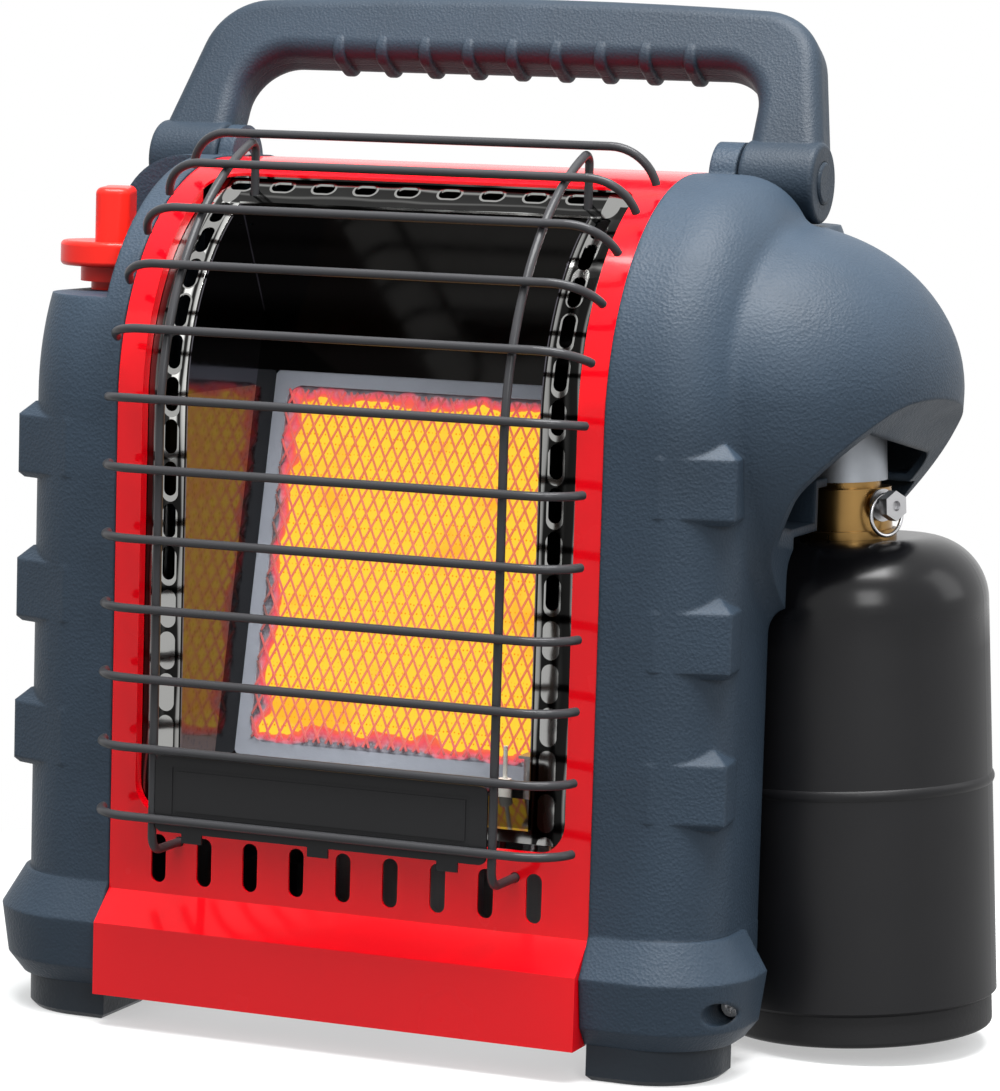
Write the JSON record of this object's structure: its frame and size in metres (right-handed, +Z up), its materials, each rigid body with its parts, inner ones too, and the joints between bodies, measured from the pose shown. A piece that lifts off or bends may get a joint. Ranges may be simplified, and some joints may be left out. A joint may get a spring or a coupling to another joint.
{
  "type": "portable propane heater",
  "caption": "Portable radiant heater fed by a small gas cylinder, with a wire guard, a folding handle, a push-and-turn knob and a swing-out regulator.",
  "frame": {"origin": "on the floor, under the middle of the whole heater's bounding box", "axes": "+X to the viewer's right, towards the gas cylinder; -Y out of the heated front; +Z up from the floor"},
  "size_m": [0.362, 0.1942, 0.3821],
  "materials": {
    "red_enamel": "gloss",
    "black_enamel": "satin",
    "wire_enamel": "satin",
    "cylinder_enamel": "satin",
    "zinc_steel": "satin",
    "screw_steel": "satin",
    "polished_steel": "mirror",
    "cast_alloy": "satin",
    "tube_alloy": "satin",
    "brass": "satin",
    "copper_lead": "satin",
    "slate_plastic": "textured",
    "foot_plastic": "matte",
    "handle_plastic": "textured",
    "knob_plastic": "gloss",
    "black_plastic": "matte",
    "white_fibre": "matte",
    "seal_rubber": "matte",
    "lead_rubber": "satin",
    "ceramic_tile": "matte",
    "spark_ceramic": "gloss",
    "hot_mesh": "glowing"
  },
  "bodies": {
    "body": {"front_panel": "red_enamel", "rear_panel": "black_enamel", "base_plate": "zinc_steel", "right_casing": "slate_plastic", "left_casing": "slate_plastic", "foot_front_right": "foot_plastic", "foot_front_left": "foot_plastic", "foot_rear_right": "foot_plastic", "foot_rear_left": "foot_plastic", "reflector": "polished_steel", "burner_tile": "ceramic_tile", "burner_pan": "zinc_steel", "tile_gasket": "white_fibre", "tile_frame": "zinc_steel", "burner_mesh": "hot_mesh", "venturi_tube": "tube_alloy", "heat_shield": "zinc_steel", "pan_supports": "zinc_steel", "guard_cross_wires": "wire_enamel", "guard_upright_wires": "wire_enamel", "guard_plate": "black_enamel", "handle_pins": "screw_steel", "valve_body": "brass", "return_spring": "screw_steel", "igniter_body": "black_plastic", "valve_bracket": "zinc_steel", "gas_injector": "brass", "feed_tube": "tube_alloy", "burner_tube": "tube_alloy", "pilot_tube": "tube_alloy", "pilot_bracket": "zinc_steel", "pilot_burner": "zinc_steel", "spark_electrode": "spark_ceramic", "thermocouple": "copper_lead", "thermocouple_lead": "copper_lead", "igniter_lead": "lead_rubber", "tip_switch_case": "black_plastic", "tip_switch_pin": "screw_steel", "swivel_elbow": "brass", "regulator_bracket": "zinc_steel", "casing_screws": "screw_steel", "rear_screws": "screw_steel"},
    "handle": {"handle_front": "handle_plastic", "handle_back": "handle_plastic", "pivot_caps": "handle_plastic"},
    "pusher": {"push_plate": "zinc_steel", "push_rod": "screw_steel", "igniter_plunger": "black_plastic"},
    "knob": {"control_knob": "knob_plastic", "valve_spindle": "zinc_steel"},
    "regulator": {"regulator_body": "cast_alloy", "regulator_cover": "cast_alloy", "regulator_screws": "screw_steel", "inlet_seal": "seal_rubber"},
    "cylinder": {"cylinder_shell": "cylinder_enamel", "cylinder_foot": "black_plastic", "cylinder_valve": "brass", "relief_valve": "zinc_steel"},
    "ring": {"pull_ring": "screw_steel"},
    "tip_weight": {"tip_switch_weight": "screw_steel"}
  },
  "joints": [
    {"name": "handle_fold", "type": "hinge", "parent": "body", "child": "handle", "pos_m": [-0.02949, 0.03905, 0.317], "axis": [-1, 0, 0], "range_deg": [-28, 45]},
    {"name": "knob_push", "type": "slide", "parent": "body", "child": "pusher", "axis": [0, 0, -1], "range_m": [0, 0.003], "stiffness_N_per_m": 600, "springref_m": -0.008, "deforming": ["return_spring"]},
    {"name": "knob_turn", "type": "hinge", "parent": "pusher", "child": "knob", "pos_m": [-0.15819, -0.01295, 0.26], "axis": [0, 0, 1], "range_deg": [-180, 0]},
    {"name": "regulator_swing", "type": "hinge", "parent": "body", "child": "regulator", "pos_m": [0.11051, 0.04605, 0.252], "axis": [0, -1, 0], "range_deg": [0, 20]},
    {"name": "cylinder_turn", "type": "hinge", "parent": "regulator", "child": "cylinder", "pos_m": [0.11722, 0.04205, 0.21535], "axis": [0.0628, 0, -0.998], "range_deg": [0, 720]},
    {"name": "ring_swing", "type": "hinge", "parent": "cylinder", "child": "ring", "pos_m": [0.13635, 0.03155, 0.20102], "axis": [0.8643, -0.5, 0.0544], "range_deg": [-40, 40]},
    {"name": "tip_swing", "type": "hinge", "parent": "body", "child": "tip_weight", "pos_m": [-0.10149, 0.03105, 0.041], "axis": [1, 0, 0], "range_deg": [-18, 18]}
  ]
}
